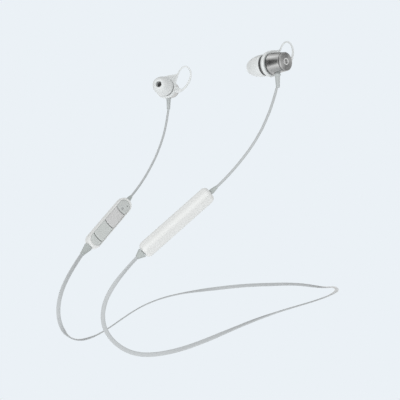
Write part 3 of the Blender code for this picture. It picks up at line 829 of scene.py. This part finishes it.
def nozzle_mesh(side, place):
    """Woven wire across the nozzle: two layers of wires that pass over and under each other."""
    low, high = extent(side + "_nozzle_mesh", place)
    radius = high[0] - 0.05 * MM
    middle = (low[2] + high[2]) / 2
    reach = int(radius / WIRE_PITCH)
    wires = []
    for layer in (0, 1):
        for index in range(-reach, reach + 1):
            offset = index * WIRE_PITCH
            half = math.sqrt(radius**2 - offset**2)
            run = np.linspace(-half, half, max(4, int(8 * half / WIRE_PITCH)))
            wave = 0.5 * WIRE * np.cos(math.pi * (run / WIRE_PITCH + index + layer))
            line = np.stack([run, np.full_like(run, offset), middle + wave], axis=1)
            if layer:
                line = line[:, [1, 0, 2]]
            wires.append(swept(line, carried(line, (0, 0, 1)), oval(WIRE, WIRE, 6)))
    return gathered(wires)


def bud_relief():
    """The tapered boot: a collar at the cup, a long taper, two shallow grips, a lip at the cord."""
    profile = [
        (0, 14.0), (0.86, 14.0, 0.1), (1.12, 13.75, 0.12), (1.14, 13.2, 0.1), (1.06, 13.05, 0.05),
        (1.08, 12.75, 0.05), (1.16, 12.6, 0.1), (1.19, 12.0, 0.1), (1.11, 11.85, 0.05),
        (1.13, 11.55, 0.05), (1.21, 11.4, 0.1), (1.38, 8.0, 0.6), (1.42, 7.15, 0.1),
        (1.85, 6.95, 0.15), (1.9, 6.35, 0.15), (1.5, 6.25, 0.05), (1.4, 4.4, 0.1),
        (2.2, 4.2, 0.1), (2.2, 3.4, 0.1), (0, 3.4),
    ]
    return pointed_down(turned(profile, 64))


def bud(side, place, rear):
    """The pieces of a bud: name, mesh, material, slot and the CAD node that the piece replaces."""
    pieces = [
        ("cap_disc", cap_disc(), CAP_METAL, "brushed_metal", ["end_cap"]),
        ("cap_inlay", cap_inlay(), POLISHED, "brushed_metal", []),
        ("cup_shell", metal_cup(), CUP_METAL, "brushed_metal", ["metal_cup"]),
        # The barrel's second material is the rim's painted gap shade.
        ("front_barrel", front_housing(), [WHITE, RIM_GAP_SHADE], "white_gloss", ["front_housing"]),
        ("dark_ring", trim_ring(), TRIM, "dark_trim", ["trim_ring"]),
        ("silicone_tip", ear_tip(), TIP_SILICONE, "silicone_clear", ["ear_tip"]),
        ("silicone_fin", ear_fin(rear), FIN_SILICONE, "silicone_clear", ["ear_fin"]),
        ("wire_mesh", nozzle_mesh(side, place), MESH_STEEL, "steel_mesh", ["nozzle_mesh"]),
        ("bud_boot", bud_relief(), RELIEF_GREY, "soft_grey", ["bud_relief"]),
    ]
    for name, mesh, material, slot, nodes in pieces:
        nodes = [side + "_" + node for node in nodes]
        body = nodes[0] if slot == "silicone_clear" else "frame"
        piece(side + "_" + name, mesh, place, body, material, nodes)
        if name == "front_barrel":
            paint_rim_gap_shade(mesh)


# ------------------------ modules

WALL = 0.9 * MM
WALL_EASE = 0.4 * MM  # the chamfer inside, where a wall meets the broad face
SEAM = 0.015 * MM  # half of the parting line's width
SEAM_EDGE = 0.04 * MM
GAP = 0.12 * MM  # round the flap and the panel
PANEL_BOW = 0.8 * MM  # of the gap between two panels, towards the neck
REMOTE_CORNER = 4.9 * MM
FLIPPED = Matrix.Diagonal((1, 1, -1, 1))  # mirrored in the parting plane


def quarter(radius, steps=8):
    """(inset, drop) along a rounded rim, from the wall to the top."""
    return [
        (radius * (1 - math.cos(angle)), radius * (1 - math.sin(angle)))
        for angle in np.linspace(0, math.pi / 2, steps + 1)
    ]


def half_shell(low, high, corner, rim):
    """Half of a case as one closed solid: a tray with a rounded rim, open at the parting plane."""
    half = high[2]

    def ring(inset, height):
        return block_ring(low, high, max(corner - inset, 0.15 * MM), inset, height)

    inner = [ring(WALL + WALL_EASE, half - WALL), ring(WALL, half - WALL - WALL_EASE), ring(WALL, SEAM)]
    wall = [ring(SEAM_EDGE, SEAM), ring(0, SEAM + SEAM_EDGE)]
    rounded = [ring(inset, half - drop) for inset, drop in quarter(rim)]
    return loft([*inner, *wall, *rounded])


def gland(name, place, tip_radius, base_radius, flat, swell):
    """A strain relief from its cord to the case: a lip, a taper that may hollow, and a foot."""
    low, high = extent(name + "_relief", place)
    towards_case = abs(low[0]) < 1 * MM
    tip = low[0] if towards_case else high[0]
    foot = 2.9
    taper = (high[0] - low[0]) / MM - foot
    outline = [
        (tip_radius + (base_radius - tip_radius) * share**swell, 0.35 + (taper - 0.8) * share)
        for share in np.linspace(0, 1, 15)
    ]
    profile = [
        (0, 0), (tip_radius * 0.82, 0.0, 0.1), (tip_radius + 0.02, 0.2, 0.1), *outline,
        (base_radius, taper - 0.25, 0.1), (base_radius - 0.15, taper, 0.1), (1.2, taper),
        (1.2, taper + 2.0), (1.9, taper + 2.0), (1.9, taper + foot), (0, taper + foot),
    ]
    stretch = Matrix.Diagonal((flat[1], flat[0], 1, 1))
    turn = Matrix.Rotation(math.pi / 2 if towards_case else -math.pi / 2, 4, "Y")
    mesh = moved(turned(profile, 64), Matrix.Translation((tip, 0, 0)) @ turn @ stretch)
    piece(name + "_boot", mesh, place, "frame", GLAND_GREY, [name + "_relief"])


def casing(name, mesh, place, node, body="frame"):
    """A white piece, whose large flat faces set the shading at the rounded edges beside them."""
    obj = piece(name, mesh, place, body, WHITE, [node])
    obj.modifiers.new("even_normals", "WEIGHTED_NORMAL").keep_sharp = True


def battery_box():
    """Both shells, cut round the charging flap, with the flap, the socket and its contacts."""
    low, high = extent("battery_case_front", BATTERY)
    flap_low, flap_high = extent("usb_cover", BATTERY)
    hole = box(
        (flap_low[0] - GAP, low[1] - 1 * MM, flap_low[2] - GAP),
        (flap_high[0] + GAP, low[1] + 1.3 * MM, flap_high[2] + GAP),
        0.25 * MM,
    )
    for way in ("front", "back"):
        shell = half_shell(low, high, 2.9 * MM, 2.4 * MM)
        if way == "back":
            shell = moved(shell, FLIPPED)
        shell = combined(shell, hole.copy())
        casing("battery_" + way + "_shell", shell, BATTERY, "battery_case_" + way)

    usb_flap(flap_low, flap_high)
    usb_socket()
    gland("battery_neck", BATTERY, 1.35, 2.8, (1.25, 0.85), 1.15)
    gland("battery_lead", BATTERY, 1.0, 1.5, (1.0, 1.0), 0.9)


def usb_flap(low, high):
    """The flap, with a nail notch at its free end and a plug that fits the socket's mouth."""
    plate = box(low, (high[0], low[1] + 0.9 * MM, high[2]), 0.18 * MM)
    spot = Matrix.Translation((high[0] + 0.75 * MM, low[1] - 0.1 * MM, 0))
    notch = turned([(0, 0.5), (1.3, 0.5), (1.3, -0.5), (0, -0.5)], 40)
    plate = combined(plate, moved(notch, spot @ Matrix.Rotation(math.pi / 2, 4, "X")))
    centre = middle_x(low, high)
    plug_low = (centre - 2.4 * MM, low[1] + 0.6 * MM, -0.6 * MM)
    plug = box(plug_low, (centre + 2.4 * MM, high[1], 0.5 * MM), 0.15 * MM)
    casing("usb_flap", combined(plate, plug, "UNION"), BATTERY, "usb_cover", "usb_cover")


def usb_socket():
    """The socket's folded shell, open at the flap, and the tongue with five contacts inside it."""
    low, high = extent("usb_socket", BATTERY)
    wall = 0.3 * MM
    mouth = box(
        (low[0] + wall, low[1] - 1 * MM, low[2] + wall),
        (high[0] - wall, high[1] - 1.2 * MM, high[2] - wall),
        0.2 * MM,
    )
    shell = combined(box(low, high, 0.35 * MM), mouth)
    piece("usb_socket_shell", shell, BATTERY, "frame", TIN, ["usb_socket"])
    centre, front, back = middle_x(low, high), low[1] + 1.1 * MM, high[1] - 1.15 * MM
    tongue = box(
        (centre - 2.1 * MM, front, -0.35 * MM), (centre + 2.1 * MM, back, 0.05 * MM), 0.08 * MM
    )
    piece("usb_tongue", tongue, BATTERY, "frame", BLACK)
    front += 0.15 * MM
    strips = []
    for index in range(5):
        x = centre + (index - 2) * 0.65 * MM
        strips.append(
            box((x - 0.15 * MM, front, 0.03 * MM), (x + 0.15 * MM, back, 0.12 * MM), 0.02 * MM, 1)
        )
    piece("usb_contacts", gathered(strips), BATTERY, "frame", POLISHED)


def remote_cover(low, high, first, last):
    """The cover: a rounded shell with a round-ended window for the panel, which runs first to last."""
    half = high[2]
    window_end = (last[1] - first[1]) / 2 + GAP - 0.01 * MM

    def ring(inset, height):
        return block_ring(low, high, REMOTE_CORNER - inset, inset, height, 12)

    def window(grow, height):
        return block_ring(first, last, window_end + grow, -GAP - grow, height, 12)

    seam = [ring(WALL, SEAM), ring(SEAM_EDGE, SEAM), ring(0, SEAM + SEAM_EDGE)]
    rounded = [ring(0.28 * inset, half - drop) for inset, drop in quarter(2.9 * MM, 14)]
    sill = [window(0.1 * MM, half), window(0.03 * MM, half - 0.03 * MM), window(0, half - 0.1 * MM)]
    under = [
        window(0, half - WALL), ring(WALL + WALL_EASE, half - WALL), ring(WALL, half - WALL - WALL_EASE)
    ]
    cover = loft([*seam, *rounded, *sill, *under], closed=True)
    casing("remote_top_shell", cover, REMOTE, "remote_cover")


def remote():
    """Shells, three buttons and the end panel, with its microphone hole and its light."""
    low, high = extent("remote_cover", REMOTE)
    panels = ["volume_down_button", "centre_button", "volume_up_button", "remote_end_panel"]
    remote_cover(low, high, extent(panels[0], REMOTE)[0], extent(panels[-1], REMOTE)[1])
    base = moved(half_shell(low, high, REMOTE_CORNER, 3.1 * MM), FLIPPED)
    casing("remote_bottom_shell", base, REMOTE, "remote_base")
    for name in panels:
        remote_panel(name, name == panels[0], name == panels[-1])
    status_light()
    gland("remote_neck", REMOTE, 1.35, 2.5, (1.1, 0.9), 1.3)
    gland("remote_lead", REMOTE, 1.0, 1.7, (1.0, 1.0), 0.9)


def bowed(outline, width, low_end, high_end):
    """A panel's outline, with its straight ends bulging towards the neck where the flags say so."""
    bent = []
    for here, after in zip(outline, np.roll(outline, -1, axis=0)):
        crosses = abs(after[0] - here[0]) < 0.01 * MM and abs(after[1] - here[1]) > 1 * MM
        for share in np.linspace(0, 1, 13)[:-1] if crosses else [0.0]:
            x, y = here + (after - here) * share
            bulges = low_end if x < 0 else high_end
            bent.append((x - PANEL_BOW * (1 - (2 * y / width) ** 2) * bulges, y))
    return np.array(bent)


def remote_panel(name, is_first, is_last):
    """One plate of the panel, crowned a little, with its plunger if it is a button."""
    low, high = extent(name, REMOTE)
    length, width, top = high[0] - low[0], high[1] - low[1], high[2]
    middle = middle_x(low, high)
    if not is_first:
        length -= PANEL_BOW
        middle += PANEL_BOW / 2
    round_end, square_end = width / 2 - 0.01 * MM, 0.45 * MM
    corners = (round_end if is_first else square_end, round_end if is_last else square_end)

    def ring(inset, height):
        ends = [max(corner - inset, 0.03 * MM) for corner in corners]
        outline = block(length - 2 * inset, width - 2 * inset, *ends, 10)
        return level(bowed(outline, width, not is_first, not is_last), height, middle)

    foot = top - 1.0 * MM
    shoulder = top - 0.07 * MM
    crown = [(0.9 * MM, 0.03 * MM), (1.7 * MM, 0.055 * MM), (2.5 * MM, 0.07 * MM)]
    wall = [ring(0.1 * MM, foot), ring(0, foot + 0.1 * MM)]
    rounded = [ring(inset, shoulder - drop) for inset, drop in quarter(0.42 * MM, 6)]
    dome = [ring(inset, shoulder + rise) for inset, rise in crown]
    plate = loft([*wall, *rounded, *dome])
    is_button = name.endswith("button")
    if is_button:
        start, end = foot / MM + 0.3, low[2] / MM
        plunger = turned([(0, start), (1.2, start), (1.2, end, 0.1), (0, end)], 32)
        plate = combined(plate, moved(plunger, Matrix.Translation((middle, 0, 0))), "UNION")
    else:
        plate = with_holes(plate, top)
    body = name if is_button else "frame"
    finish = {"volume_up_button": PANEL_WARM, "remote_end_panel": PANEL_END}.get(name, PANEL_GREY)
    piece(name + "_plate", plate, REMOTE, body, finish, [name])


def with_holes(plate, top):
    """The end panel with the microphone's hole and the seat of the light."""
    low, high = extent("status_led", REMOTE)
    light_x = middle_x(low, high)
    reach = top / MM + 1
    for x, y, radius in ((light_x + 4.0 * MM, -1.6 * MM, 0.42), (light_x, 0, 0.78)):
        drill = turned([(0, reach), (radius, reach), (radius, 0), (0, 0)], 40)
        plate = combined(plate, moved(drill, Matrix.Translation((x, y, 0))))
    return plate


def status_light():
    """The light's lens, a low dome."""
    low, high = extent("status_led", REMOTE)
    top, foot = high[2] / MM, low[2] / MM
    dome = [(0, top + 0.05), (0.35, top + 0.01), (0.6, top - 0.12, 0.05), (0.62, foot, 0.05), (0, foot)]
    lens = moved(turned(dome, 40), Matrix.Translation((middle_x(low, high), 0, 0)))
    piece("status_lens", lens, REMOTE, "frame", GUIDE, ["status_led"])


# ------------------------ parts inside the casings

INSIDE = {
    "left_magnet": MAGNET, "right_magnet": MAGNET, "left_driver": BLACK, "right_driver": BLACK,
    "battery_cell": FOIL, "main_board": BOARD, "remote_board": BOARD, "radio_module": TIN,
    "microphone": TIN, "volume_up_switch": BLACK, "centre_switch": BLACK, "volume_down_switch": BLACK,
}


def inner_parts():
    for node, material in INSIDE.items():
        for entry in frame["nodes"][node].material_slots:
            entry.material = material


# ------------------------ stage, light and camera

PAPER = (0.831, 0.880, 0.922)  # the pale blue of the studio paper, as light
PAPER_PLACE = (0.0, -0.085, -0.17)
PAPER_CORE, PAPER_REACH = 0.04, 0.30  # the radii where it begins and ends to fade away


def studio_paper():
    """Pale paper under the object, which fades away into the even light of the studio."""
    shape = bmesh.new()
    bmesh.ops.create_grid(shape, x_segments=24, y_segments=24, size=PAPER_REACH)
    floor = add_object("studio_floor", mesh_from(shape, "studio_floor"))
    floor.location = PAPER_PLACE
    material = bpy.data.materials.new("studio_paper")
    material.use_nodes = True
    tree = material.node_tree
    tree.nodes.clear()
    point = add_node(tree, "ShaderNodeTexCoord", {}).outputs["Object"]
    radius = add_node(tree, "ShaderNodeVectorMath", {0: point}, operation="LENGTH").outputs["Value"]
    fade = map_range(tree, radius, PAPER_CORE, PAPER_REACH, 0.0, 1.0)
    paper = add_node(tree, "ShaderNodeBsdfDiffuse", {"Color": (0.95, 0.97, 0.99, 1)}).outputs[0]
    clear = add_node(tree, "ShaderNodeBsdfTransparent", {}).outputs[0]
    mix = add_node(tree, "ShaderNodeMixShader", {0: fade, 1: paper, 2: clear}).outputs[0]
    add_node(tree, "ShaderNodeOutputMaterial", {0: mix})
    floor.data.materials.append(material)


# The room's light by direction: where each patch lies, how wide it is (as cosines of its faint
# and its full edge) and what it multiplies the light by.
PATCHES = [
    ((-0.53, -0.83, 0.03), (0.81, 0.91), 0.04),  # a dark flag, mirrored by the cups' sides
    ((-0.60, -0.50, 0.72), (0.94, 0.985), 2.0),  # a small bright panel above it
    ((-0.755, 0.386, 0.53), (0.94, 0.97), 0.2),  # the dark edge that outlines the cups
    ((0.49, 0.85, 0.10), (0.55, 0.95), 0.84),  # the dim back of the room, mirrored by a cap
    ((0.42, 0.73, 0.56), (0.88, 0.97), 0.15),  # its dark ceiling
    ((0.44, 0.77, -0.46), (0.88, 0.97), 0.15),  # its dark foot
    ((0.90, -0.30, -0.30), (0.20, 0.90), 1.24),  # the bright right side
    ((0.25, -0.85, -0.45), (0.80, 0.95), 1.4),  # and the reflector at the front
]
HEIGHT_LIGHT = [(-1.0, 0.90), (0.0, 0.95), (0.35, 0.78), (1.0, 0.66)]  # (z of the direction, light)


def studio_air():
    """The room's soft light: even paper to the eye, with the patches that the metal mirrors."""
    world = bpy.data.worlds.new("studio_air")
    world.use_nodes = True
    bpy.context.scene.world = world
    tree = world.node_tree
    tree.nodes.clear()
    way = add_node(tree, "ShaderNodeTexCoord", {}).outputs["Generated"]
    height = add_node(tree, "ShaderNodeSeparateXYZ", {0: way}).outputs["Z"]

    light = None
    for (low, before), (high, after) in zip(HEIGHT_LIGHT, HEIGHT_LIGHT[1:]):
        if light:
            factor = map_range(tree, height, low, high, 1.0, after / before)
            light = maths(tree, "MULTIPLY", light, factor)
        else:
            light = map_range(tree, height, low, high, before, after)
    for direction, (faint, full), strength in PATCHES:
        inputs = {0: way, 1: Vector(direction).normalized()}
        near = add_node(tree, "ShaderNodeVectorMath", inputs, operation="DOT_PRODUCT").outputs["Value"]
        factor = map_range(tree, near, faint, full, 1.0, strength)
        light = maths(tree, "MULTIPLY", light, factor)

    lit = add_node(tree, "ShaderNodeBackground", {"Color": (0.992, 1.0, 0.998, 1), "Strength": light})
    seen = add_node(tree, "ShaderNodeBackground", {"Color": (*PAPER, 1)})
    by_eye = add_node(tree, "ShaderNodeLightPath", {}).outputs["Is Camera Ray"]
    mix = add_node(tree, "ShaderNodeMixShader", {0: by_eye, 1: lit.outputs[0], 2: seen.outputs[0]})
    add_node(tree, "ShaderNodeOutputWorld", {0: mix.outputs[0]})


def softbox(name, place, aim, size, power):
    light = bpy.data.lights.new(name, "AREA")
    light.shape = "RECTANGLE"
    light.size, light.size_y = size
    light.energy = power
    obj = add_object(name, light)
    obj.location = place
    obj.rotation_euler = (Vector(aim) - Vector(place)).to_track_quat("-Z", "Y").to_euler()
    obj.visible_camera = False


# Solved from points that were picked on the object.
CAMERA_PLACE = Vector((0.618716, -0.405922, 0.035564))
CAMERA_LOOK = Vector((-0.8891, 0.4569, 0.0281))
CAMERA_LENS = 102.49


def camera():
    data = bpy.data.cameras.new("studio_camera")
    data.sensor_width = 36.0
    data.lens = CAMERA_LENS
    data.clip_start = 0.05
    data.clip_end = 20.0
    obj = add_object("studio_camera", data)
    look = CAMERA_LOOK.normalized()
    right = look.cross(Vector((0, 0, 1))).normalized()
    rotation = Matrix((right, right.cross(look), -look)).transposed().to_4x4()
    obj.matrix_world = Matrix.Translation(CAMERA_PLACE) @ rotation
    bpy.context.scene.camera = obj


studio_paper()
studio_air()
camera()
softbox("low_softbox", (0.95, 0.35, -0.02), (0.0, -0.08, 0.05), (0.5, 0.25), 0.12)
bpy.context.scene.view_settings.view_transform = "Standard"

neck_cord()
lead("left", LEFT_LEAD)
lead("right", RIGHT_LEAD)
bud("left", LEFT, -1)
bud("right", RIGHT, 1)
battery_box()
remote()
inner_parts()
